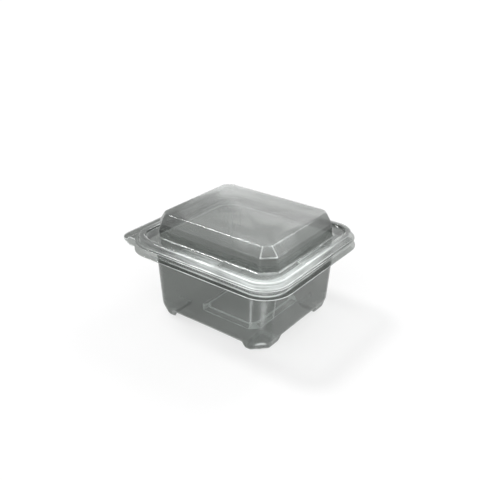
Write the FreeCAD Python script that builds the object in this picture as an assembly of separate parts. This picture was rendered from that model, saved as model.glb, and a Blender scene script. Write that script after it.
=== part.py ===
import FreeCAD, Part
import math
import os

from FreeCAD import Vector

# A hinged food pack thermoformed from one clear sheet: a tub with four feet and a domed lid,
# joined along a living hinge. Millimetres, +Z up, feet on z = 0, hinge on the -X side.

# Sheet and rim outline
sheet = 0.4
flange_length = 130.0
flange_width = 117.0
flange_radius = 21.0

# Tub heights above the ground
foot_z = 0.6
floor_z = 4.6
flange_z = 51.6

# Tub rim, each inset measured from the flange outline
tub_flange_inset = 4.3
tub_bead_outer_inset = 5.2
tub_bead_inner_inset = 6.6
tub_bead_height = 9.3
tub_ledge_inset = 7.5
tub_ledge_height = 4.6

# Tub wall
wall_top_inset = 12.2
wall_top_radius = 15.0
wall_end_draft = 4.8
wall_side_draft = 1.4
wall_bottom_radius = 12.0

# Feet at the four corners, and a slanted facet that cuts each corner of the floor's outline
foot_length_x = 15.8
foot_length_y = 21.7
foot_setback = 0.7
foot_draft = 1.8
foot_edge_radius = 3.0
facet_top_z = 9.6
facet_top_cut = 5.3
facet_bottom_cut = 12.9
pip_radius = 4.4
pip_height = 7.0
pip_setback = 2.25

# Raised panel in the floor, its middle moved away from the hinge
panel_shift = 4.4
panel_half_x = 22.0
panel_half_y = 24.7
panel_corner = 5.5
panel_bevel = 4.8
panel_rise = 1.6

# Lid rim
rim_gap = 5.2
lid_outline_inset = 0.8
lid_flange_inset = 2.8
lid_bead_outer_inset = 3.7
lid_bead_inner_inset = 7.8
lid_ledge_inset = 8.6
lid_ledge_drop = 1.6
seat_gap = 0.3

# Lid dome
dome_foot_inset_x = 13.3
dome_foot_inset_y = 16.4
dome_foot_cut = 8.4
dome_wall_height = 10.4
dome_wall_lean_x = 1.0
dome_wall_lean_y = 1.2
dome_wall_cut = 8.0
dome_chamfer_height = 6.6
dome_chamfer_run_x = 4.6
dome_chamfer_run_y = 3.7
dome_top_cut = 4.4

# Locking pads in the middle of each side, tub pads inside the lid pads
pad_half_length = 15.4
pad_end_skew = 0.2
pad_inset_x = 11.2
pad_inset_y = 12.6
pad_lean = 0.15
pad_clearance = 1.2

# Living hinge
leaf_reach = 11.5
leaf_half_length = 51.0
leaf_radius = 9.0
leaf_flat = 0.6
leaf_slope_run = 3.2
leaf_parting = 0.15
crease_width = 1.2

# Values worked out from the driving dimensions
half_length = flange_length / 2
half_width = flange_width / 2
floor_half_x = half_length - wall_top_inset - wall_end_draft
floor_half_y = half_width - wall_top_inset - wall_side_draft
tub_bead_z = flange_z + sheet + tub_bead_height
tub_ledge_z = flange_z + sheet + tub_ledge_height
lid_flange_z = flange_z + sheet + rim_gap
lid_bead_z = tub_bead_z + seat_gap + sheet
lid_ledge_z = lid_bead_z - lid_ledge_drop
hinge_x = -half_length - leaf_reach
hinge_z = (flange_z + lid_flange_z + sheet) / 2
margin = 2.0
frame_shift = leaf_reach / 2


def rounded_wire(half_x, half_y, radius, z):
    """Rectangle with rounded corners, counter-clockwise from the end of its +X side."""
    edges = []
    centres = [
        (half_x - radius, half_y - radius, 0),
        (radius - half_x, half_y - radius, 90),
        (radius - half_x, radius - half_y, 180),
        (half_x - radius, radius - half_y, 270),
    ]
    ends = []
    for x, y, start in centres:
        points = []
        for turn in (0, 45, 90):
            angle = math.radians(start + turn)
            points.append(Vector(x + radius * math.cos(angle), y + radius * math.sin(angle), z))
        ends.append(points)
    for number, points in enumerate(ends):
        edges.append(Part.Arc(*points).toShape())
        following = ends[(number + 1) % 4]
        edges.append(Part.makeLine(points[2], following[0]))
    return Part.Wire(edges)


def cut_wire(half_x, half_y, cut, z):
    """Rectangle with corners cut off at 45 degrees."""
    points = []
    for sign_x, sign_y in ((1, 1), (-1, 1), (-1, -1), (1, -1)):
        on_end = Vector(sign_x * half_x, sign_y * (half_y - cut), z)
        on_side = Vector(sign_x * (half_x - cut), sign_y * half_y, z)
        points += [on_end, on_side] if sign_x == sign_y else [on_side, on_end]
    return Part.makePolygon(points + [points[0]])


def rim_wire(inset, z):
    """Outline of the rim at an inset, with corners on the flange's own centres."""
    return rounded_wire(half_length - inset, half_width - inset, flange_radius - inset, z)


def outward(solid):
    """The same solid with its faces turned outwards."""
    if solid.Volume < 0:
        solid.reverse()
    return solid


def stack(wires):
    """Solid through outlines that lie one above another."""
    return outward(Part.makeLoft(wires, True, True))


def prism(wire, height):
    """Solid straight up from an outline."""
    return outward(Part.Face(wire).extrude(Vector(0, 0, height)))


def offset_run(run, gap):
    """Points of the same run moved sideways by a gap, downwards where it is level."""
    moved = []
    for number in range(len(run)):
        sides = []
        for first in (number - 1, number):
            if 0 <= first < len(run) - 1:
                step = (run[first + 1][0] - run[first][0], run[first + 1][1] - run[first][1])
                length = math.hypot(*step)
                sides.append((step[1] / length, -step[0] / length))
        normal = (sum(side[0] for side in sides), sum(side[1] for side in sides))
        size = math.hypot(*normal)
        normal = (normal[0] / size, normal[1] / size)
        reach = gap / (normal[0] * sides[0][0] + normal[1] * sides[0][1])
        moved.append((run[number][0] + normal[0] * reach, run[number][1] + normal[1] * reach))
    return moved


def ring(section):
    """Closed ring whose section, a list of (inset, z), runs round the rim."""
    wires = [rim_wire(inset, z) for inset, z in section]
    faces = []
    for number, wire in enumerate(wires):
        following = wires[(number + 1) % len(wires)]
        level = abs(section[number][1] - section[(number + 1) % len(wires)][1]) < 1e-6
        if level:
            wide, narrow = sorted((wire, following), key=lambda item: -item.BoundBox.XLength)
            faces.append(Part.Face(wide).cut(Part.Face(narrow)).Faces[0])
        else:
            faces += Part.makeLoft([wire, following], False, True).Faces
    shell = Part.makeShell(faces)
    shell.sewShape()
    return outward(Part.Solid(shell))


def rim_sheet(upper):
    """Sheet under a run of (inset, z) points on its upper face."""
    lower = offset_run(upper, sheet)
    lower[0] = (upper[0][0], lower[0][1])
    lower[-1] = (upper[-1][0], lower[-1][1])
    return ring(upper + lower[::-1])


def tub_wall(gap):
    """Outside of the tub wall for no gap, or what is taken out of it."""
    top_z = tub_ledge_z + (margin if gap else 0)
    runs = []
    for half, draft in ((half_length, wall_end_draft), (half_width, wall_side_draft)):
        bottom_inset = wall_top_inset + draft
        lean = draft / (tub_ledge_z - floor_z)
        top_inset = bottom_inset - lean * (top_z - floor_z)
        run = [(top_inset, top_z), (bottom_inset, floor_z), (half, floor_z)]
        runs.append(offset_run(run, -gap))
    wires = []
    for number, radius in enumerate((wall_top_radius, wall_bottom_radius)):
        (inset_x, z), (inset_y, _) = runs[0][number], runs[1][number]
        wires.append(rounded_wire(half_length - inset_x, half_width - inset_y, radius - gap, z))
    return stack(wires)


def foot(sign_x, sign_y, gap):
    """One corner foot, drawn down from the floor."""
    centre = Vector(
        sign_x * (floor_half_x - foot_setback - foot_length_x / 2),
        sign_y * (floor_half_y - foot_setback - foot_length_y / 2),
        0,
    )
    wires = []
    for z, taper in ((foot_z + gap, foot_draft), (floor_z + margin + gap, 0)):
        half_x = (foot_length_x - taper) / 2 - gap
        half_y = (foot_length_y - taper) / 2 - gap
        wire = rounded_wire(half_x, half_y, foot_edge_radius, z)
        wire.translate(centre)
        wires.append(wire)
    return stack(wires)


def corner_wedge(sign_x, sign_y, gap):
    """What the slanted facet takes off one corner of the tub."""
    slant = (facet_bottom_cut - facet_top_cut) / (facet_top_z - foot_z)
    wires = []
    for z in (foot_z - margin, facet_top_z + margin):
        cut = facet_bottom_cut - slant * (z - foot_z) + gap * math.sqrt(2)
        reach = floor_half_x + floor_half_y - cut
        points = [
            Vector(sign_x * reach, 0, z),
            Vector(0, sign_y * reach, z),
            Vector(0, sign_y * 2 * reach, z),
            Vector(sign_x * 2 * reach, 0, z),
        ]
        wires.append(Part.makePolygon(points + [points[0]]))
    return stack(wires)


def pip(sign_x, sign_y, gap):
    """Small round foot under the middle of the corner facet."""
    inset = facet_bottom_cut / 2 + pip_setback
    centre = Vector(sign_x * (floor_half_x - inset), sign_y * (floor_half_y - inset), gap)
    return Part.makeCylinder(pip_radius - gap, pip_height, centre)


def tub_body(gap):
    """The tub's body below the rim: its outside, or what is taken out of it."""
    body = tub_wall(gap)
    corners = [(1, 1), (-1, 1), (-1, -1), (1, -1)]
    body = body.fuse([foot(x, y, gap) for x, y in corners])
    body = body.cut([corner_wedge(x, y, gap) for x, y in corners])
    body = body.fuse([pip(x, y, gap) for x, y in corners])
    levels = [(0, floor_z), (panel_bevel, floor_z + panel_rise), (panel_half_x, floor_z + panel_rise)]
    levels = offset_run([(-panel_bevel, floor_z)] + levels, -gap)
    wires = []
    for inset, z in levels[1:3]:
        out = panel_bevel - inset
        wires.append(cut_wire(panel_half_x + out, panel_half_y + out, panel_corner + out / 2, z))
    panel = stack(wires)
    panel.translate(Vector(panel_shift, 0, 0))
    return body.cut(panel)


def pads(shrink, low, high):
    """Four blocks that widen a bead inwards, each from a low to a high (inset, z) on the bead."""
    ends = (half_length, pad_inset_x)
    sides = (half_width, pad_inset_y)
    blocks = []
    for number, (half, pad_inset) in enumerate((ends, sides, ends, sides)):
        wires = []
        for start, z in (low, high):
            lean = pad_lean * (high[1] - z)
            face_inset = pad_inset - shrink + lean
            face_end = pad_half_length - shrink + lean
            start_end = face_end + pad_end_skew * (face_inset - start)
            points = [
                Vector(half - start, -start_end, z),
                Vector(half - start, start_end, z),
                Vector(half - face_inset, face_end, z),
                Vector(half - face_inset, -face_end, z),
            ]
            wires.append(Part.makePolygon(points + [points[0]]))
        block = stack(wires)
        block.rotate(Vector(0, 0, 0), Vector(0, 0, 1), number * 90)
        blocks.append(block)
    return blocks


def add_pads(shape, clearance, bead, ledge):
    """Widen a bead by hollow pads between its inner edge and its ledge, both (inset, z)."""
    shape = shape.fuse(pads(clearance, ledge, bead))
    inside = bead[0] - 2 * sheet
    low = (inside, ledge[1] - sheet)
    high = (inside, bead[1] - sheet)
    return shape.cut(pads(clearance + sheet, low, high))


def leaf(direction):
    """Hinge leaf from a flange to the crease: 1 rises from the tub, -1 drops from the lid."""
    level = flange_z + sheet if direction > 0 else lid_flange_z
    run = [
        (-half_length + flange_radius, level),
        (-half_length - leaf_flat, level),
        (-half_length - leaf_flat - leaf_slope_run, hinge_z - direction * leaf_parting),
        (hinge_x + crease_width + leaf_parting, hinge_z - direction * leaf_parting),
        (hinge_x + crease_width, hinge_z),
        (hinge_x, hinge_z),
    ]
    other = offset_run(run, -direction * sheet)
    other[-1] = (hinge_x, other[-1][1])
    points = [Vector(x, -half_width, z) for x, z in run + other[::-1]]
    section = Part.Face(Part.makePolygon(points + [points[0]]))
    strip = outward(section.extrude(Vector(0, flange_width, 0)))
    middle = (hinge_x - half_length + flange_radius) / 2
    half = (-half_length + flange_radius - hinge_x) / 2 + leaf_radius / 2
    plan = rounded_wire(half, leaf_half_length, leaf_radius, foot_z)
    plan.translate(Vector(middle + leaf_radius / 2, 0, 0))
    strip = strip.common(prism(plan, lid_bead_z))
    inner = prism(rim_wire(lid_outline_inset + sheet, foot_z), lid_bead_z)
    return strip.cut(inner)


def make_tub():
    """The tub with its rim, feet, floor panel and half of the hinge."""
    upper = [
        (0, flange_z + sheet),
        (tub_flange_inset, flange_z + sheet),
        (tub_bead_outer_inset, tub_bead_z),
        (tub_bead_inner_inset, tub_bead_z),
        (tub_ledge_inset, tub_ledge_z),
        (tub_ledge_inset + margin, tub_ledge_z),
    ]
    shape = rim_sheet(upper)
    ledge = prism(rim_wire(tub_ledge_inset + margin / 2, tub_ledge_z - sheet), sheet)
    shape = shape.fuse([ledge, tub_body(0)])
    bead = (tub_bead_inner_inset, tub_bead_z)
    shape = add_pads(shape, pad_clearance, bead, (tub_ledge_inset, tub_ledge_z))
    shape = shape.cut(tub_body(sheet))
    return shape.fuse(leaf(1)).removeSplitter()


def dome(gap):
    """Outside of the dome for no gap, or what is taken out below it."""
    foot_level = lid_ledge_z - sheet - (margin if gap else 0)
    wall_level = lid_ledge_z + dome_wall_height
    top_level = wall_level + dome_chamfer_height
    runs = []
    for half, foot_inset, lean, chamfer in (
        (half_length, dome_foot_inset_x, dome_wall_lean_x, dome_chamfer_run_x),
        (half_width, dome_foot_inset_y, dome_wall_lean_y, dome_chamfer_run_y),
    ):
        run = [
            (foot_inset, foot_level),
            (foot_inset + lean, wall_level),
            (foot_inset + lean + chamfer, top_level),
            (half, top_level),
        ]
        runs.append(offset_run(run, gap))
    wires = []
    for number, cut in enumerate((dome_foot_cut, dome_wall_cut, dome_top_cut)):
        (inset_x, z), (inset_y, _) = runs[0][number], runs[1][number]
        shrunk = cut - gap * (2 - math.sqrt(2))
        wires.append(cut_wire(half_length - inset_x, half_width - inset_y, shrunk, z))
    return stack(wires)


def make_lid():
    """The domed lid with its rim and the other half of the hinge."""
    upper = [
        (lid_outline_inset, lid_flange_z + sheet),
        (lid_flange_inset, lid_flange_z + sheet),
        (lid_bead_outer_inset, lid_bead_z),
        (lid_bead_inner_inset, lid_bead_z),
        (lid_ledge_inset, lid_ledge_z),
        (lid_ledge_inset + margin, lid_ledge_z),
    ]
    shape = rim_sheet(upper)
    ledge = prism(rim_wire(lid_ledge_inset + margin / 2, lid_ledge_z - sheet), sheet)
    shape = shape.fuse(ledge)
    bead = (lid_bead_inner_inset, lid_bead_z)
    shape = add_pads(shape, 0, bead, (lid_ledge_inset, lid_ledge_z))
    shape = shape.fuse(dome(0)).cut(dome(sheet))
    return shape.fuse(leaf(-1)).removeSplitter()


os.makedirs("parts", exist_ok=True)
for name, make in (("tub", make_tub), ("lid", make_lid)):
    solid, = make().Solids
    solid.translate(Vector(frame_shift, 0, 0))
    solid.exportStep("parts/" + name + ".step")
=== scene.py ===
import math

import bpy
import numpy as np
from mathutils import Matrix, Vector


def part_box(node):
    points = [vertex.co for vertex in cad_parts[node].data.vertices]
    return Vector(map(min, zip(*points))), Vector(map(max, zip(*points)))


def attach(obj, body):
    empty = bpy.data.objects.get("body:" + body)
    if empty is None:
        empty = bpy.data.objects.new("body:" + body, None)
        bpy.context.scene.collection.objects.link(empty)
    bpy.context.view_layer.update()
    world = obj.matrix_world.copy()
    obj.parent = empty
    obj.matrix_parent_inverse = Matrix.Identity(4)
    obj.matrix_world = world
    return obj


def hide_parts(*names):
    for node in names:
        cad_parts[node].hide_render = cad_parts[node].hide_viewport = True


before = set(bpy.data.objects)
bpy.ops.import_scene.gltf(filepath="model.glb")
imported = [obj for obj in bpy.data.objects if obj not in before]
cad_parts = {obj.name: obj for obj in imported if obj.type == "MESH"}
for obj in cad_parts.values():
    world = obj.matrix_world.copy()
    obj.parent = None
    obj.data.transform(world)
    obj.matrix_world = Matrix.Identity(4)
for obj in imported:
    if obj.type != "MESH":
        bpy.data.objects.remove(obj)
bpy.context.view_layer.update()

# A clear hinged food pack: a tub with four feet and a domed lid, both thermoformed from one sheet.
# Lengths here are millimetres in the CAD frame, and become metres where a mesh is made.
MM = 0.001

# Places of the height, the milkiness with its painted highlights and reflections, and the kind of corner in a
# profile point
LEVEL = 3
MILK_AND_HIGHLIGHT = 4
CUT = 7


def in_mm(corner):
    """A corner of a box of the frame, in millimetres."""
    return corner / MM


tub_low, tub_high = (in_mm(corner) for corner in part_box("tub"))
lid_low, lid_high = (in_mm(corner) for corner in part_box("lid"))

# Sheet and rim, from the frame where it gives the size
sheet = 0.4
leaf_reach = 11.5
half_width = tub_high.y
half_length = tub_high.x - leaf_reach / 2
middle_x = leaf_reach / 2
flange_radius = 21.0
hinge_x = tub_low.x - middle_x
tub_top = tub_high.z
lid_top = lid_high.z

# Width of the cut edge of a flange, milky white as a painted highlight
cut_edge = 0.5

# Tub rim: each point's inset from the flange outline, height of the upper face and milkiness, which paints a
# highlight on the cut edge and reflections on the bead and ledge
flange_level = 52.0
ledge_level = 56.6
flange_width = 4.3
# Painted reflection on the ledge
ledge_reflection = 0.3
tub_rim = ((0.0, flange_level, 1.0), (cut_edge, flange_level, 0.05), (flange_width, flange_level, 0.05),
           (5.2, tub_top, 0.6), (6.6, tub_top, 0.6), (7.5, ledge_level, ledge_reflection))

# Bends of the tub rim: length and extra milkiness, a painted highlight along the bend
tub_rim_bends = ((0.1, 0.0), (0.8, 0.7), (0.6, 0.6), (0.6, 0.6), (0.7, 0.3))

# Tub wall and floor, inner face of the sheet
ledge_fillet = 0.8
# Painted highlight along the bend from the ledge into the wall
ledge_bend_highlight = 2.0
wall_inset = 12.6
wall_top_radius = 14.6
wall_bottom_radius = 11.6
wall_end_draft = 4.8
wall_side_draft = 1.4
floor_level = 5.0
foot_level = 1.0
fine_level = 13.0
floor_fillet = 2.6
foot_fillet = 1.2
wall_haze = 0.03
# Painted highlight along the bend from the wall into the floor
floor_bend_highlight = 0.8

# Feet and the slanted facet with its pip
foot_start_x = 31.5
foot_start_y = 22.5
foot_slope = 2.0
foot_blend_top = 8.0
foot_setback = 1.6
facet_reach = 79.8
facet_slant = 0.844
facet_rounding = 1.2
facet_edge_low = 5.0
facet_edge_rise = 3.0
facet_edge_width = 0.6
# Painted highlights along the upper edge of each facet and along the edges of the feet
facet_edge_highlight = 0.8
foot_edge_highlight = 2.4
pip_radius = 2.9
pip_flare = 0.75
pip_x = 39.3
pip_y = 36.2
pip_top = 4.6
pip_edge_reach = 0.6
pip_edge_width = 0.8

# Raised floor panel, its middle moved away from the hinge
panel_shift = 4.4
panel_half_x = 22.0
panel_half_y = 24.7
panel_corner = 5.5
panel_bevel = 4.8
panel_rise = 1.6
# Panel bends: length and a painted highlight along the bend
panel_bends = ((1.1, 1.3), (1.1, 1.8))
# Painted highlight on the bevels of the panel's cut corners
panel_corner_highlight = 1.3

# Lid rim, like the tub's, with the same painted highlight and reflections
lid_flange_level = 57.6
lid_bead_level = 62.0
lid_ledge_level = 60.4
lid_inset = 0.8
lid_flange_width = 2.8
lid_rim = ((lid_inset, lid_flange_level, 1.0), (lid_inset + cut_edge, lid_flange_level, 0.2),
           (lid_flange_width, lid_flange_level, 0.5), (3.7, lid_bead_level, 0.6),
           (7.8, lid_bead_level, 0.25), (8.6, lid_ledge_level, 0.3))

# Dome: insets in X and Y and size of the cut corner, height, and milkiness of each ring, a painted highlight
# at the top edge
dome_shoulder_level = lid_ledge_level + 10.4
dome_foot_inset = 13.3
dome = ((dome_foot_inset, 16.4, 8.4, lid_ledge_level, 0.0), (14.3, 17.6, 8.0, dome_shoulder_level, 0.0),
        (18.9, 21.3, 4.4, lid_top, 0.22))
low_wall_share = 0.2
corner_rounding = 1.3

# Flat top: shares of its size where it has rings, sag in the middle and milkiness, a painted reflection that
# is stronger at the border
top_border = 0.85
top_rings = (0.7, 0.5, 0.3, 0.12)
top_sag = 0.35
top_border_reflection = 0.12
top_reflection = 0.10

# Bends of the lid from the flange to the flat top: length and extra milkiness, a painted highlight along the
# bend
lid_bends = ((0.1, 0.0), (0.6, 0.7), (0.8, 0.8), (0.8, 0.8), (0.6, 0.7),
             (1.2, 0.3), (0.4, 0.0), (1.0, 0.1), (1.0, 0.25))

# Extra milkiness of the dome, all painted: highlights on corner edges above and below the shoulder and on
# corner folds, and lighter end walls
upper_edge_highlight = 0.8
lower_edge_highlight = 0.1
fold_highlight = 0.6
end_wall_painted_light = 0.08

# Locking pads in the middle of each side
pad_half_length = 15.4
pad_run = 1.1
pad_inset_x = 11.2
pad_inset_y = 12.6
pad_clearance = 1.2
pad_lean = 0.3
tub_pad_half = pad_half_length - pad_clearance

# Living hinge
leaf_half_length = 51.0
leaf_radius = 9.0
leaf_flat = 0.6
leaf_slope_run = 3.2
leaf_parting = 0.15
crease_level = lid_low.z
leaf_rows = 14

# Streaks run along the rim, which reaches this far in, and are drawn out on the faces beyond it
rim_reach = 12.0
streak_stretch = 0.05

# Milkiness of the hinge leaf, where 0 is clear, and of its cut edge, which is a painted highlight
leaf_haze = 0.0
leaf_edge_highlight = 0.7

# Above the floor all milkiness and the pale tint are weak at two corners of the pack and full near the other
# two, as painted light
least_painted_light = 0.1
painted_light_reach = 110

# Painted highlights that streak down the tub's corners: place round the corner from 0 to 1, width and
# strength
corner_highlight_streaks = ((0.1, 0.05, 0.22), (0.5, 0.11, 0.22), (0.88, 0.03, 0.2))

# Rows of the tub's grid: ledge bend and its drawn part, wall, low wall, floor bend and floor
ledge_bend_rows = 5
thin_ledge_rows = 3
wall_rows_high = 12
wall_rows_low = 18
floor_bend_rows = 6
floor_flat_rows = 35

# Grid steps along the ends and the sides as shares of their half-lengths, and steps of a corner
tub_steps = ((0.016, 0.07), (0.014, 0.06))
tub_fine_spots = ([(0.58, 1.0)], [(0.76, 1.0)])
tub_turns = 36
lid_steps = ((0.012, 0.08), (0.012, 0.07))
lid_fine_spots = ([], [])
lid_turns = 27

# Strength of the surroundings as a light, and whiteness that the floor shows beside its shadow
sky_light = 0.45
floor_whiteness = 0.62


def spaced(fine_spots, fine, coarse):
    """Values from 0 to 1 with fine steps near the given spots and coarse steps elsewhere."""
    values = [0.0]
    while values[-1] < 1.0:
        near = any(low <= values[-1] <= high for low, high in fine_spots)
        values.append(values[-1] + (fine if near else coarse))
    return np.array(values) / values[-1]


def both_ways(values):
    """The same values mirrored to run from -1 to 1."""
    return np.concatenate([-values[:0:-1], values])


class Columns:
    """The columns of a grid that runs round an outline of four sides and four corners."""

    def __init__(self, on_end, on_side, turns):
        self.on_end = both_ways(on_end)
        self.on_side = both_ways(on_side)
        self.turn = np.linspace(0.0, 1.0, turns + 1)[1:-1]
        self.side = []
        self.along = []
        for number in range(4):
            values = self.on_end if number % 2 == 0 else self.on_side
            self.side += [number] * len(values) + [number + 0.5] * len(self.turn)
            self.along += list(values) + list(self.turn)
        self.side = np.array(self.side)
        self.along = np.array(self.along)
        self.count = len(self.side)

    def outline(self, half_x, half_y, corner, cut):
        """Plan points of one outline. Corners are round for cut 0 and cut off straight for cut 1."""
        offset = corner_offsets(self.turn, corner, cut)
        points = []
        for number in range(4):
            angle = number * math.pi / 2
            across = half_x if number % 2 == 0 else half_y
            beside = half_y if number % 2 == 0 else half_x
            values = self.on_end if number % 2 == 0 else self.on_side
            flat = np.stack([np.full(len(values), across), values * (beside - corner)], 1)
            bend = offset + np.array([across, beside])
            for part in (flat, bend):
                turned_x = part[:, 0] * math.cos(angle) - part[:, 1] * math.sin(angle)
                turned_y = part[:, 0] * math.sin(angle) + part[:, 1] * math.cos(angle)
                points.append(np.stack([turned_x, turned_y], 1))
        return np.concatenate(points)

    def point(self, number, half_x, half_y, corner):
        """Plan point of one column on a round-cornered outline of its own size."""
        side = self.side[number]
        turn = self.along[number]
        quarter = int(side)
        across, beside = (half_x, half_y) if quarter % 2 == 0 else (half_y, half_x)
        if side == quarter:
            x, y = across, turn * (beside - corner)
        else:
            x = across + corner * (math.cos(turn * math.pi / 2) - 1)
            y = beside + corner * (math.sin(turn * math.pi / 2) - 1)
        angle = quarter * math.pi / 2
        return (x * math.cos(angle) - y * math.sin(angle), x * math.sin(angle) + y * math.cos(angle))


def grid_columns(pad_end, steps, fine_spots, turns):
    """Columns that lie close together at the ends of the pads and at other given spots."""
    values = []
    for half, (fine, coarse), spots in zip((half_width, half_length), steps, fine_spots):
        straight = half - flange_radius
        pad_spot = ((pad_end - 1) / straight, (pad_end + 2) / straight)
        values.append(spaced([pad_spot, *spots], fine, coarse))
    return Columns(*values, turns)


def bezier(start, middle, end, steps):
    """Points of a quadratic curve, one for each step."""
    steps = steps[:, None]
    return (1 - steps) ** 2 * start + 2 * steps * (1 - steps) * middle + steps ** 2 * end


def corner_offsets(turn, corner, cut):
    """Offsets of a corner's points from where its two sides would meet."""
    angles = turn * math.pi / 2
    round_corner = np.stack([corner * (np.cos(angles) - 1), corner * (np.sin(angles) - 1)], 1)
    if cut == 0:
        return round_corner
    bend = min(corner_rounding, corner / 3)
    start, end = np.array([0, -corner]), np.array([-corner, 0])
    first, second = np.array([0, bend - corner]), np.array([bend - corner, 0])
    step = (second - first) / np.linalg.norm(second - first) * bend
    rounding = 0.3
    cut_corner = np.where(
        (turn < rounding)[:, None],
        bezier(start, first, first + step, np.clip(turn / rounding, 0, 1)),
        bezier(second - step, second, end, np.clip((turn - 1 + rounding) / rounding, 0, 1)),
    )
    share = ((turn - rounding) / (1 - 2 * rounding))[:, None]
    middle = (first + step) * (1 - share) + (second - step) * share
    straight = ((turn >= rounding) & (turn <= 1 - rounding))[:, None]
    cut_corner = np.where(straight, middle, cut_corner)
    return cut * cut_corner + (1 - cut) * round_corner


def smooth_step(value):
    """0 below 0, 1 above 1 and a smooth rise between."""
    value = np.clip(value, 0.0, 1.0)
    return value * value * (3 - 2 * value)


def smooth_least(first, second, width):
    """The lesser of two values, blended over a width."""
    share = np.clip(0.5 + 0.5 * (second - first) / width, 0, 1)
    return second * (1 - share) + first * share - width * share * (1 - share)


def profile_point(half_x, half_y, corner, level, milk_and_highlight=0.0, pad=(0.0, 0.0), cut=0.0, shift=0.0):
    """One ring of a profile: its outline, height, milkiness with painted highlights, pads, kind of corner and
    shift in X.
    """
    return np.array([half_x, half_y, corner, level, milk_and_highlight, *pad, cut, shift])


def rim_point(inset, level, milk_and_highlight=0.0, pad=(0.0, 0.0)):
    """Profile point on an offset of the flange outline."""
    return profile_point(half_length - inset, half_width - inset, flange_radius - inset, level, milk_and_highlight, pad)


def rim_run(points, clearance):
    """Profile points of a rim, the last two of which move in at the pads, less a clearance."""
    run = [rim_point(*point) for point in points[:-2]]
    for (inset, level, milk_and_highlight), lean in zip(points[-2:], (0.0, pad_lean)):
        pad = (pad_inset_x - clearance + lean - inset, pad_inset_y - clearance + lean - inset)
        run.append(rim_point(inset, level, milk_and_highlight, pad))
    return run


def fillet(points, bends, steps=7):
    """A run of profile points with each inner corner rounded, for bends of (length, extra milkiness as a
    painted highlight).
    """
    rounded = [points[0]]
    for number, (length, bend_highlight) in enumerate(bends, 1):
        before, here, after = points[number - 1:number + 2]
        back, onward = before - here, after - here
        first = here + back * min(0.48, length / np.linalg.norm(back[[0, LEVEL]]))
        second = here + onward * min(0.48, length / np.linalg.norm(onward[[0, LEVEL]]))
        turn = np.linspace(0, 1, steps)
        curve = bezier(first, here, second, turn)
        curve[:, MILK_AND_HIGHLIGHT] += bend_highlight * 4 * turn * (1 - turn)
        rounded += list(curve)
    return rounded + [points[-1]]


def pad_shift(columns, half_end):
    """How much of a pad's shift each column takes, and its inward direction."""
    inward = np.zeros((columns.count, 2))
    share = np.zeros(columns.count)
    for number in range(4):
        here = columns.side == number
        angle = number * math.pi / 2
        inward[here] = [-math.cos(angle), -math.sin(angle)]
        straight = (half_width if number % 2 == 0 else half_length) - flange_radius
        place = np.abs(columns.along[here]) * straight
        share[here] = smooth_step((half_end + pad_run - place) / pad_run)
    return share[:, None] * inward


def plan_of(columns, point, pads):
    """Plan points of one profile point for all columns."""
    half_x, half_y, corner, level, milk_and_highlight, pad_x, pad_y, cut, shift = point
    plan = columns.outline(half_x, half_y, corner, cut)
    on_end = (columns.side % 2 == 0)[:, None]
    return plan + pads * np.where(on_end, pad_x, pad_y) + np.array([shift, 0])


def as_rows(columns, points, half_end):
    """One row of points in space for each profile point."""
    pads = pad_shift(columns, half_end)
    rows = []
    for point in points:
        plan = plan_of(columns, point, pads)
        rows.append(np.column_stack([plan, np.full(columns.count, point[LEVEL])]))
    return rows


def leaf_height(x, level, lift):
    """Height of a hinge leaf's upper face from the flange out to the crease."""
    slope = (-half_length - leaf_flat - x) / leaf_slope_run
    return level + (lift - level) * smooth_step(slope)


def leaf_patch(columns, edge_row, level, lift):
    """Rows of the hinge leaf beyond the flange edge, and the columns that they continue."""
    inside = (edge_row[:, 0] < 0) & (np.abs(edge_row[:, 1]) <= leaf_half_length + 0.01)
    chosen = np.flatnonzero(inside)
    rows = []
    y = edge_row[chosen, 1]
    beyond = np.clip(np.abs(y) - (leaf_half_length - leaf_radius), 0, leaf_radius)
    far_x = hinge_x + leaf_radius - np.sqrt(leaf_radius ** 2 - beyond ** 2)
    for step in np.linspace(0, 1, leaf_rows + 1)[1:]:
        x = edge_row[chosen, 0] * (1 - step) + far_x * step
        rows.append(np.column_stack([x, y, leaf_height(x, level, lift)]))
    return chosen, rows


def painted_light_share(row):
    """How strongly milkiness and the pale tint show over one row, as painted light: fully near the floor, and
    above it at two corners.
    """
    share = least_painted_light + smooth_step(np.abs(row[:, 0] - row[:, 1]) / painted_light_reach)
    return np.where(row[:, 2] < fine_level, 1.0, share)


def across_rows(rows):
    """Distance of each row from the edge, for the streaks, drawn out long beyond the rim."""
    across = [0.0]
    for before, after in zip(rows, rows[1:]):
        on_rim = before[0, 0] > half_length - rim_reach
        across.append(across[-1] + np.linalg.norm(after[0] - before[0]) * (1.0 if on_rim else streak_stretch))
    return across


def ring_faces(count, rings):
    """Faces between neighbouring rings, and from the last ring to the middle point after it."""
    faces = []
    for row in range(rings - 1):
        for column in range(count):
            following = (column + 1) % count
            here, beyond = row * count, (row + 1) * count
            faces.append((here + column, here + following, beyond + following, beyond + column))
    centre = rings * count
    last = centre - count
    return faces + [(last + column, last + (column + 1) % count, centre) for column in range(count)]


def leaf_faces(chosen, row_count, start):
    """Faces from the rim's chosen columns over the rows of the hinge leaf."""
    faces = []
    before = list(chosen)
    for number in range(row_count):
        first_point = start + number * len(chosen)
        after = list(range(first_point, first_point + len(chosen)))
        for first in range(len(chosen) - 1):
            faces.append((before[first + 1], before[first], after[first], after[first + 1]))
        before = after
    return faces


def leaf_milk_and_highlight(row_count, width):
    """Milkiness over the points of the hinge leaf, with a painted highlight on its cut edge."""
    milk_and_highlight = np.full((row_count, width), leaf_haze)
    milk_and_highlight[:, [0, -1]] = milk_and_highlight[-1] = leaf_edge_highlight
    return milk_and_highlight.ravel()


def store(mesh, label, parts):
    """Numbers stored on the mesh's points."""
    attribute = mesh.attributes.new(label, "FLOAT", "POINT")
    attribute.data.foreach_set("value", np.concatenate(parts).astype(np.float32))


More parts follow.
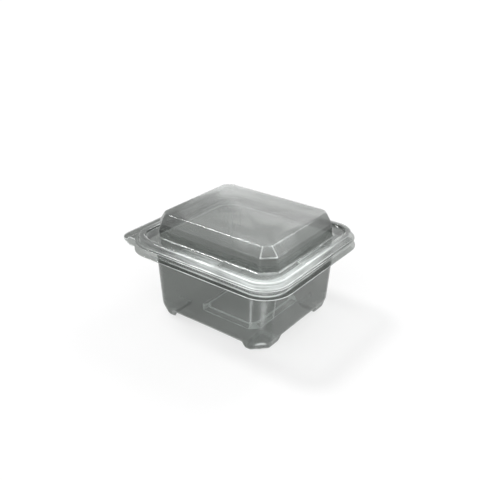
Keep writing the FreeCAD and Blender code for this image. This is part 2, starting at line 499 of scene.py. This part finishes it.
def shell_piece(name, body, rows, leaf, milk_and_highlight, thin_and_painted_light):
    """A sheet through rows of points, closed in the middle, with a hinge leaf, as a solid shell."""
    # Milkiness and the pale tint of thin parts are both scaled by the painted light share of each row
    milk_and_highlight = [np.broadcast_to(value, len(row)) * painted_light_share(row) for value, row in zip(milk_and_highlight, rows)]
    thin_and_painted_light = [share * painted_light_share(row) for share, row in zip(thin_and_painted_light, rows)]
    chosen, leaf_points = leaf
    for row in milk_and_highlight[:2]:
        row[chosen[1:-1]] = leaf_haze
    count = len(rows[0])
    middle = rows[-1].mean(0, keepdims=True)
    places = np.concatenate(rows + [middle] + leaf_points)
    places[:, 0] += middle_x
    faces = ring_faces(count, len(rows)) + leaf_faces(chosen, len(leaf_points), len(rows) * count + 1)
    mesh = bpy.data.meshes.new(name)
    mesh.from_pydata((places * MM).tolist(), [], faces)
    along = np.concatenate([[0.0], np.cumsum(np.linalg.norm(np.diff(rows[0], axis=0), axis=1))])
    across = across_rows(rows)
    on_leaf = np.zeros(len(chosen) * len(leaf_points))
    store(mesh, "milk_and_highlight", milk_and_highlight + [milk_and_highlight[-1][:1], leaf_milk_and_highlight(len(leaf_points), len(chosen))])
    store(mesh, "thin_and_painted_light", thin_and_painted_light + [[0.0], on_leaf])
    store(mesh, "along", [along] * len(rows) + [[0.0], on_leaf])
    store(mesh, "across", [np.repeat(across, count), [across[-1]], on_leaf])
    for polygon in mesh.polygons:
        polygon.use_smooth = True
    piece = bpy.data.objects.new(name, mesh)
    bpy.context.scene.collection.objects.link(piece)
    thicken = piece.modifiers.new("sheet", "SOLIDIFY")
    thicken.thickness = sheet * MM
    thicken.offset = -1
    thicken.use_even_offset = True
    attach(piece, body)
    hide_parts(body)
    return piece


def foot_share(x, y):
    """How far the floor drops into a corner foot at plan points: 0 on the floor and 1 on the foot."""
    along = smooth_step((np.abs(x) - foot_start_x) / foot_slope)
    across = smooth_step((np.abs(y) - foot_start_y) / foot_slope)
    return along * across


def pip_share(x, y):
    """1 on the pips and 0 elsewhere."""
    distance = np.hypot(np.abs(x) - pip_x, np.abs(y) - pip_y)
    return smooth_step((pip_radius + pip_edge_reach - distance) / pip_edge_width)


def painted_foot_edge_highlight(x, y):
    """Painted highlight along the edges of the feet."""
    foot = foot_share(x, y)
    return foot_edge_highlight * foot * (1 - foot)


def floor_height(x, y):
    """Upper face of the floor, its feet and their pips at plan points."""
    level = floor_level + (foot_level - floor_level) * foot_share(x, y)
    return level + (sheet - level) * pip_share(x, y)


def plain_wall(columns, z):
    """Plan points of the tub wall's inner face at a height for each column, before the facets."""
    share = np.clip((z - floor_level) / (ledge_level - floor_level), 0, 1)
    foot = columns.foot * np.clip((foot_blend_top - z) / (foot_blend_top - foot_level), 0, 1)
    plan = np.zeros((columns.count, 2))
    for number in range(columns.count):
        half_x = half_length - wall_inset - wall_end_draft * (1 - share[number])
        half_y = half_width - wall_inset - wall_side_draft * (1 - share[number])
        corner = wall_bottom_radius + (wall_top_radius - wall_bottom_radius) * share[number]
        inset = foot_setback * foot[number]
        plan[number] = columns.point(number, half_x - inset, half_y - inset, corner - inset)
    return plan


def wall_plan(columns, z):
    """Plan points of the tub wall's inner face with its facets."""
    return on_facet(plain_wall(columns, z), z)


def painted_facet_highlight(columns, z):
    """Painted highlight along the curved upper edge of each facet."""
    total = np.abs(plain_wall(columns, z)).sum(1)
    reach = facet_reach + facet_slant * (z - foot_level)
    on_edge = np.exp(-((total - reach) / facet_edge_width) ** 2)
    return facet_edge_highlight * on_edge * smooth_step((z - facet_edge_low) / facet_edge_rise)


def on_facet(plan, z):
    """Plan points drawn in to the slanted facet at each corner, and out again round its pip."""
    sign = np.sign(plan)
    plan = np.abs(plan)
    total = plan.sum(1)
    spread = plan[:, 0] - plan[:, 1]
    reach = facet_reach + facet_slant * (z - foot_level)
    drawn = smooth_least(total, reach, facet_rounding)
    offset = (spread - (pip_x - pip_y)) / math.sqrt(2)
    radius = pip_radius + pip_flare * (z - sheet)
    bulge = pip_x + pip_y + math.sqrt(2) * np.sqrt(np.clip(radius ** 2 - offset ** 2, 0, None))
    on_pip = (np.abs(offset) < radius) & (z < pip_top)
    drawn = np.where(on_pip, np.maximum(drawn, np.minimum(bulge, total)), drawn)
    change = ((drawn - total) / 2)[:, None]
    return (plan + change) * sign


def corner_turn(columns):
    """Place of each column round its corner from 0 to 1, and -1 on the straight sides."""
    return np.where(columns.side % 1 == 0, -1.0, columns.along)


def painted_corner_streaks(columns, z):
    """Painted highlights that streak down the rounded corners of the tub wall."""
    rise = np.clip((z - fine_level) / (ledge_level - fine_level), 0, 1)
    turn = corner_turn(columns)
    total = np.zeros(columns.count)
    for place, width, amount in corner_highlight_streaks:
        spread = width * (0.5 + rise)
        total += amount * np.exp(-((turn - place) / spread) ** 2) * smooth_step(rise * 2.5)
    return total


def tub_columns():
    """The tub's columns, with the share of each that stands on a foot."""
    columns = grid_columns(tub_pad_half, tub_steps, tub_fine_spots, tub_turns)
    half_x = half_length - wall_inset - wall_end_draft
    half_y = half_width - wall_inset - wall_side_draft
    plan = [columns.point(number, half_x, half_y, wall_bottom_radius) for number in range(columns.count)]
    columns.foot = foot_share(*np.array(plan).T)
    return columns


def ledge_rows(columns):
    """Rows and their milkiness where the ledge turns down into the wall, with a painted highlight along the
    bend.
    """
    for turn in np.linspace(0, 1, ledge_bend_rows):
        z = np.full(columns.count, ledge_level) - ledge_fillet * (1 - math.cos(turn * math.pi / 2))
        plan = wall_plan(columns, z)
        outward = ledge_fillet * (1 - math.sin(turn * math.pi / 2))
        away = plan / np.linalg.norm(plan, axis=1, keepdims=True)
        yield np.column_stack([plan + away * outward, z]), ledge_reflection + ledge_bend_highlight * turn * (1 - turn)


def wall_rows(columns, low):
    """Rows and their milkiness down the wall: painted highlight streaks above, and painted highlights on the
    edges of the facets below.
    """
    top = np.full(columns.count, ledge_level)
    for share in np.linspace(0, 1, wall_rows_high + 2)[1:-1]:
        z = top - ledge_fillet + (fine_level - top + ledge_fillet) * share
        yield np.column_stack([wall_plan(columns, z), z]), wall_haze + painted_corner_streaks(columns, z)
    for share in np.linspace(0, 1, wall_rows_low):
        z = fine_level + (low - fine_level) * share
        yield np.column_stack([wall_plan(columns, z), z]), wall_haze + painted_facet_highlight(columns, z)


def floor_rows(columns, bottom, curve, panel_base):
    """Rows and their milkiness where the wall turns into the floor, and on to the raised panel, with painted
    highlights along the bend and the edges of the feet.
    """
    for turn in np.linspace(0, 1, floor_bend_rows + 1)[1:]:
        z = bottom + curve * (1 - math.sin(turn * math.pi / 2))
        plan = wall_plan(columns, z)
        inward = panel_base - plan
        inward /= np.linalg.norm(inward, axis=1, keepdims=True)
        edge_plan = plan + inward * (curve * (1 - math.cos(turn * math.pi / 2)))[:, None]
        yield np.column_stack([edge_plan, z]), wall_haze + floor_bend_highlight * turn * (1 - turn)
    for share in np.linspace(0, 1, floor_flat_rows + 1)[1:]:
        plan = edge_plan * (1 - share) + panel_base * share
        yield np.column_stack([plan, floor_height(*plan.T)]), wall_haze + painted_foot_edge_highlight(*plan.T)


def panel_profile():
    """Profile of the raised floor panel, from its foot up to its flat middle."""
    foot = profile_point(panel_half_x + panel_bevel, panel_half_y + panel_bevel,
                         panel_corner + panel_bevel / 2, floor_level, wall_haze, cut=1.0, shift=panel_shift)
    before = foot + profile_point(2.0, 2.0, 1.0, 0.0)
    top = profile_point(panel_half_x, panel_half_y, panel_corner, floor_level + panel_rise,
                        wall_haze, cut=1.0, shift=panel_shift)
    middle = top.copy()
    middle[:LEVEL] = [1.0, 5.0, 0.5]
    return fillet([before, foot, top, middle], panel_bends)[5:]


def panel_rows(columns):
    """Rows of the raised panel and their milkiness, with painted highlights on its bends, strong on the
    bevels of its cut corners.
    """
    panel = panel_profile()
    cut_corner = (columns.side % 1 > 0) * (columns.along > 0.2) * (columns.along < 0.8)
    for row, point in zip(as_rows(columns, panel, tub_pad_half), panel):
        on_bevel = floor_level + 0.1 < point[LEVEL] < floor_level + panel_rise - 0.1
        yield row, point[MILK_AND_HIGHLIGHT] + panel_corner_highlight * cut_corner * on_bevel


def make_tub():
    """The tub: rim with locking pads, wall, feet with pips, raised floor panel and hinge leaf."""
    columns = tub_columns()
    wall_top = profile_point(half_length - wall_inset, half_width - wall_inset, wall_top_radius,
                             ledge_level, ledge_reflection)
    rim = fillet([*rim_run(tub_rim, pad_clearance), wall_top], tub_rim_bends)[:-1]
    rows = as_rows(columns, rim, tub_pad_half)
    milk_and_highlight = [point[MILK_AND_HIGHLIGHT] for point in rim]
    thin_and_painted_light = [float(flange_width < half_length - point[0]) for point in rim] + [1.0] * thin_ledge_rows
    bottom = floor_level + (foot_level - floor_level) * columns.foot
    curve = floor_fillet + (foot_fillet - floor_fillet) * columns.foot
    panel_base = columns.outline(panel_half_x + panel_bevel, panel_half_y + panel_bevel,
                                 panel_corner + panel_bevel / 2, 1) + np.array([panel_shift, 0])
    inside = [*ledge_rows(columns), *wall_rows(columns, bottom + curve),
              *floor_rows(columns, bottom, curve, panel_base), *panel_rows(columns)]
    for row, row_milk_and_highlight in inside:
        rows.append(row)
        milk_and_highlight.append(row_milk_and_highlight)
    thin_and_painted_light += [0.0] * (len(rows) - len(thin_and_painted_light))
    leaf = leaf_patch(columns, rows[0], flange_level, crease_level - leaf_parting)
    return shell_piece("clear_tub", "tub", rows, leaf, milk_and_highlight, thin_and_painted_light)


def corner_edges(columns):
    """1 along the two upright edges of each cut corner, falling to 0 beside them."""
    turn = corner_turn(columns)
    return sum(np.exp(-((turn - place) / 0.06) ** 2) for place in (0.15, 0.85))


def lid_profile():
    """Profile of the lid from the flange edge over the bead and the ledge to the middle of the dome."""
    run = rim_run(lid_rim, 0.0)
    for inset_x, inset_y, corner, level, milk_and_highlight in dome:
        run.append(profile_point(half_length - inset_x, half_width - inset_y, corner + corner_rounding,
                                 level, milk_and_highlight, cut=1.0))
    low_wall = run[-3] * (1 - low_wall_share) + run[-2] * low_wall_share
    run.insert(-2, low_wall)
    edge = run[-1]
    border = edge.copy()
    border[:LEVEL] *= top_border
    border[LEVEL] -= top_sag * 0.5
    # Painted reflection on the flat top, stronger at its border
    border[MILK_AND_HIGHLIGHT] = top_border_reflection
    points = fillet([*run, border], lid_bends)
    for share in top_rings:
        ring = edge.copy()
        ring[:LEVEL] *= share
        ring[LEVEL] = lid_top - top_sag * (1 - share * share)
        ring[MILK_AND_HIGHLIGHT] = top_reflection
        points.append(ring)
    return points


def lid_milk_and_highlight(columns, point):
    """Milkiness at one profile point, with painted highlights on the dome's corner edges and corner folds,
    and painted light on its end walls.
    """
    level = point[LEVEL]
    top_half = half_length - dome[-1][0]
    on_dome = point[CUT] * (point[0] > top_half - 0.5) * (level > lid_ledge_level + 0.5)
    edges = (upper_edge_highlight if level > dome_shoulder_level else lower_edge_highlight) * corner_edges(columns)
    corner_face = (columns.side % 1 > 0) * (columns.along > 0.1) * (columns.along < 0.9)
    fold = fold_highlight * corner_face * (abs(level - dome_shoulder_level) < 0.45)
    on_end_wall = end_wall_painted_light * (columns.side % 2 == 0) * (level < lid_top - 0.5)
    return point[MILK_AND_HIGHLIGHT] + (edges + fold + on_end_wall) * on_dome


def make_lid():
    """The lid: rim with locking pads, domed top with cut corners and hinge leaf."""
    columns = grid_columns(pad_half_length, lid_steps, lid_fine_spots, lid_turns)
    points = lid_profile()
    rows = as_rows(columns, points, pad_half_length)
    milk_and_highlight = [lid_milk_and_highlight(columns, point) for point in points]
    dome_start = dome_foot_inset + 0.05
    thin_and_painted_light = [float(lid_flange_width < half_length - point[0] < dome_start) for point in points]
    leaf = leaf_patch(columns, rows[0], lid_flange_level, crease_level + leaf_parting + sheet)
    return shell_piece("clear_lid", "lid", rows, leaf, milk_and_highlight, thin_and_painted_light)


# Materials


def new_material(name):
    """An empty node material and its tree."""
    material = bpy.data.materials.new(name)
    material.use_nodes = True
    tree = material.node_tree
    tree.nodes.clear()
    return material, tree


def node(tree, kind, **values):
    """A node with its settings or input values."""
    made = tree.nodes.new(kind)
    for name, value in values.items():
        if name in made.bl_rna.properties:
            setattr(made, name, value)
        else:
            made.inputs[name.replace("_", " ")].default_value = value
    return made


def calculate(tree, operation, *values):
    """A math node fed by sockets or plain numbers."""
    made = tree.nodes.new("ShaderNodeMath")
    made.operation = operation
    for number, value in enumerate(values):
        if isinstance(value, (int, float)):
            made.inputs[number].default_value = value
        else:
            tree.links.new(value, made.inputs[number])
    return made.outputs[0]


def mix_shaders(tree, share, first, second):
    """Two shaders mixed by a share from 0 to 1."""
    made = tree.nodes.new("ShaderNodeMixShader")
    if isinstance(share, float):
        made.inputs[0].default_value = share
    else:
        tree.links.new(share, made.inputs[0])
    tree.links.new(first, made.inputs[1])
    tree.links.new(second, made.inputs[2])
    return made.outputs[0]


def attribute(tree, name):
    """A number stored on the mesh's points."""
    return node(tree, "ShaderNodeAttribute", attribute_name=name).outputs["Fac"]


def transparent(tree, red, green, blue):
    """A clear sheet of one tint."""
    return node(tree, "ShaderNodeBsdfTransparent", Color=(red, green, blue, 1)).outputs[0]


def noise(tree, place, **values):
    """A noise pattern over a place, from about 0 to 1."""
    pattern = node(tree, "ShaderNodeTexNoise", **values)
    tree.links.new(place, pattern.inputs["Vector"])
    return pattern.outputs["Fac"]


def see_through(tree):
    """Smoky sheet, paler where it is drawn thin, with that paleness scaled by the painted light share. Light
    for the inside passes it nearly clear.
    """
    smoky = transparent(tree, 0.60, 0.613, 0.603)
    pale = transparent(tree, 0.82, 0.83, 0.825)
    for_light = transparent(tree, 0.88, 0.89, 0.885)
    tinted = mix_shaders(tree, attribute(tree, "thin_and_painted_light"), smoky, pale)
    path = node(tree, "ShaderNodeLightPath")
    return mix_shaders(tree, path.outputs["Is Shadow Ray"], tinted, for_light)


def milk_and_highlight_share(tree, place):
    """Share of the sheet that is milky white: a faint milkiness of its own and painted highlights and
    reflections, broken up by streaks along the rim and by soft clouds.
    """
    streak_place = node(tree, "ShaderNodeCombineXYZ")
    for number, (label, scale) in enumerate((("along", 0.05), ("across", 0.9))):
        scaled = calculate(tree, "MULTIPLY", attribute(tree, label), scale)
        tree.links.new(scaled, streak_place.inputs[number])
    streaked = noise(tree, streak_place.outputs[0], Scale=1.0, Detail=3.0, Roughness=0.6)
    clouded = noise(tree, place, Scale=30.0, Detail=2.0)
    streaked = calculate(tree, "MULTIPLY_ADD", streaked, 2.8, -0.4)
    clouded = calculate(tree, "MULTIPLY_ADD", clouded, 1.8, 0.1)
    uneven = calculate(tree, "MULTIPLY", streaked, clouded)
    milk_and_highlight = calculate(tree, "MULTIPLY", attribute(tree, "milk_and_highlight"), uneven)
    return calculate(tree, "MULTIPLY_ADD", milk_and_highlight, 0.85, 0.006)


def wavy_gloss(tree, place):
    """Gloss over a slightly wavy sheet."""
    bump = node(tree, "ShaderNodeBump", Strength=0.4, Distance=0.0002)
    tree.links.new(noise(tree, place, Scale=38.0, Detail=0.0), bump.inputs["Height"])
    gloss = node(tree, "ShaderNodeBsdfGlossy", Roughness=0.06)
    tree.links.new(bump.outputs[0], gloss.inputs["Normal"])
    return gloss.outputs[0]


def clear_plastic():
    """Smoky clear sheet that is glossy, and milky white where highlights and reflections are painted on its
    bends, edges, rim and top.
    """
    material, tree = new_material("clear_sheet")
    place = node(tree, "ShaderNodeTexCoord").outputs["Object"]
    facing = node(tree, "ShaderNodeLayerWeight", Blend=0.5)
    grazing = calculate(tree, "POWER", facing.outputs["Facing"], 5.0)
    mirror = calculate(tree, "MULTIPLY_ADD", grazing, 0.95, 0.05)
    # White of the faint milkiness and of the painted highlights and reflections
    milk_and_highlight_color = (0.93, 0.96, 0.95, 1)
    front = node(tree, "ShaderNodeBsdfDiffuse", Color=milk_and_highlight_color)
    through = node(tree, "ShaderNodeBsdfTranslucent", Color=milk_and_highlight_color)
    milk_and_highlight_white = mix_shaders(tree, 0.3, front.outputs[0], through.outputs[0])
    body = mix_shaders(tree, milk_and_highlight_share(tree, place), see_through(tree), milk_and_highlight_white)
    surface = mix_shaders(tree, mirror, body, wavy_gloss(tree, place))
    output = node(tree, "ShaderNodeOutputMaterial")
    tree.links.new(surface, output.inputs["Surface"])
    return material


def shown_share(tree, amount):
    """An amount for rays of the camera and of reflections, and 0 for light on the object."""
    path = node(tree, "ShaderNodeLightPath")
    shown = calculate(tree, "MAXIMUM", path.outputs["Is Camera Ray"], path.outputs["Is Glossy Ray"])
    shown = calculate(tree, "MAXIMUM", shown, path.outputs["Is Transmission Ray"])
    return calculate(tree, "MULTIPLY", shown, amount)


def make_floor():
    """A large pale floor that keeps the shadow."""
    material, tree = new_material("pale_floor")
    lit = node(tree, "ShaderNodeBsdfDiffuse", Color=(0.76, 0.76, 0.76, 1))
    white = node(tree, "ShaderNodeEmission", Color=(1, 1, 1, 1), Strength=1.0)
    surface = mix_shaders(tree, shown_share(tree, floor_whiteness), lit.outputs[0], white.outputs[0])
    output = node(tree, "ShaderNodeOutputMaterial")
    tree.links.new(surface, output.inputs["Surface"])
    size = 6.0
    mesh = bpy.data.meshes.new("floor")
    corners = [(-size, -size, 0), (size, -size, 0), (size, size, 0), (-size, size, 0)]
    mesh.from_pydata(corners, [], [(0, 1, 2, 3)])
    mesh.materials.append(material)
    floor = bpy.data.objects.new("floor", mesh)
    bpy.context.scene.collection.objects.link(floor)


def make_world():
    """White surroundings that light the object softly."""
    world = bpy.data.worlds.new("surroundings")
    bpy.context.scene.world = world
    world.use_nodes = True
    tree = world.node_tree
    background = tree.nodes["Background"]
    background.inputs["Color"].default_value = (1, 1, 1, 1)
    strength = calculate(tree, "ADD", shown_share(tree, 1.0 - sky_light), sky_light)
    tree.links.new(strength, background.inputs["Strength"])


def soft_sky(name, bearing, height, angle, strength):
    """A soft light from far away, given by the bearing and height in degrees that it comes from."""
    bearing, height = math.radians(bearing), math.radians(height)
    flat = math.cos(height)
    direction = (math.cos(bearing) * flat, math.sin(bearing) * flat, math.sin(height))
    data = bpy.data.lights.new(name, "SUN")
    data.energy = strength
    data.angle = math.radians(angle)
    lamp = bpy.data.objects.new(name, data)
    lamp.rotation_euler = Vector(direction).to_track_quat("Z", "Y").to_euler()
    bpy.context.scene.collection.objects.link(lamp)


def make_camera():
    """The camera at the photograph's viewing angle."""
    data = bpy.data.cameras.new("camera")
    data.sensor_width = 36.0
    data.lens = 48.85
    data.clip_start = 0.01
    camera = bpy.data.objects.new("camera", data)
    camera.location = (0.2591, -0.3329, 0.2583)
    forward = Vector((-0.5514, 0.7109, -0.4365))
    camera.rotation_euler = forward.to_track_quat("-Z", "Y").to_euler()
    bpy.context.scene.collection.objects.link(camera)
    bpy.context.scene.camera = camera


plastic = clear_plastic()
for piece in (make_tub(), make_lid()):
    piece.data.materials.append(plastic)
make_floor()
make_world()
soft_sky("back", 100, 27, 60, 0.4)
soft_sky("back_right", 60, 22, 44, 0.5)
soft_sky("far", 122, 10, 29, 0.27)
soft_sky("left_edges", 182, 56, 14, 1.7)
soft_sky("right_edges", 87, 45, 14, 0.4)
soft_sky("left_fill", 233, 24, 40, 0.3)
soft_sky("front_fill", 300, 40, 60, 1.3)
make_camera()
bpy.context.scene.view_settings.view_transform = "Standard"
